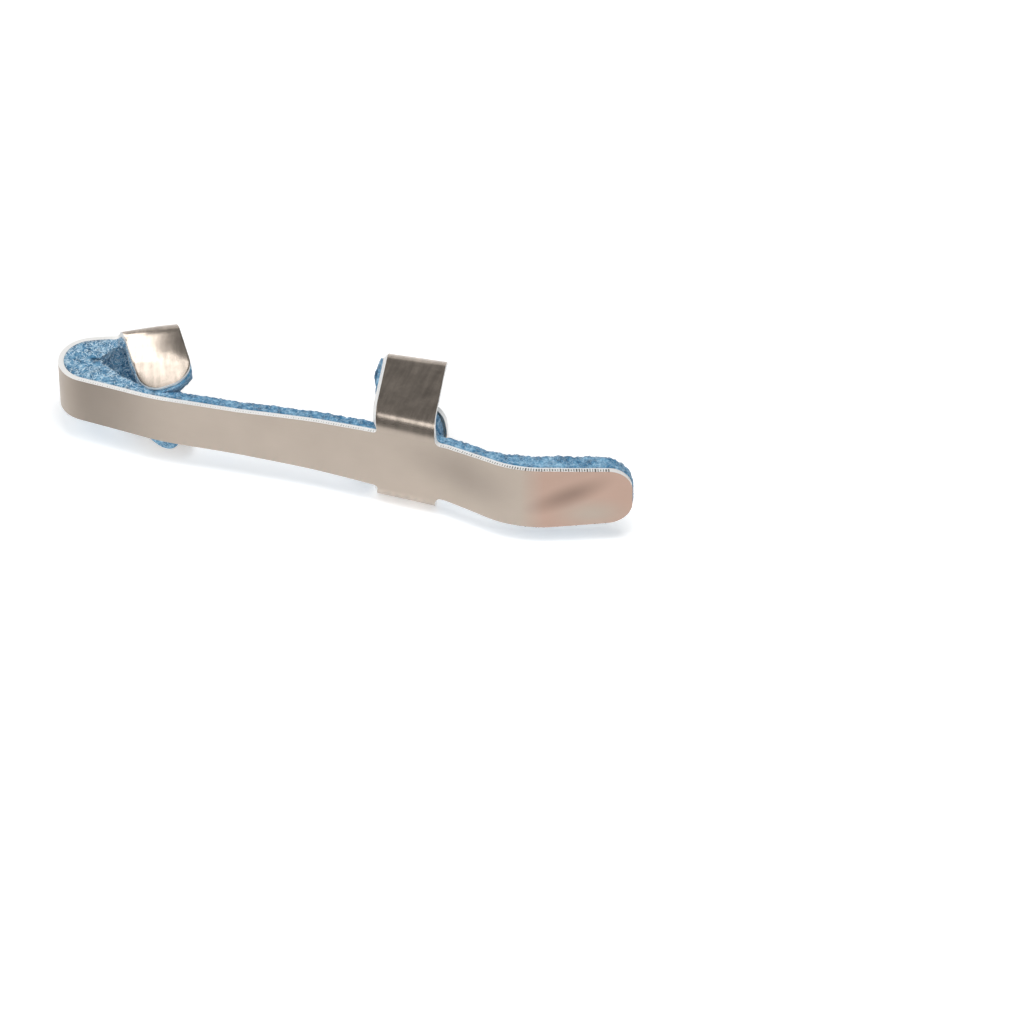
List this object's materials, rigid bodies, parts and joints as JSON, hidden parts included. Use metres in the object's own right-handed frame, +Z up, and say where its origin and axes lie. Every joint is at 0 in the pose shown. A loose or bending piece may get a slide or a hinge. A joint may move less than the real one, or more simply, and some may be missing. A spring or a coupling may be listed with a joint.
{
  "type": "finger splint",
  "caption": "Folded aluminium finger splint with a collar, a turned-back nose with side wings, and blue foam glued all over its inner side.",
  "frame": {"origin": "middle of the bounding box in plan, at the height of the ground that the splint lies on", "axes": "+X along the splint, from its nose to its heel; +Y from the strip to the open side of the collar; +Z up, across the strip"},
  "size_m": [0.1272, 0.0272, 0.0242],
  "materials": {
    "aluminium": "satin, finely brushed along the strip",
    "foam": "matt open-cell foam, pale blue"
  },
  "bodies": {
    "root": {"aluminium_splint": "aluminium", "foam_lining": "foam"}
  },
  "joints": []
}
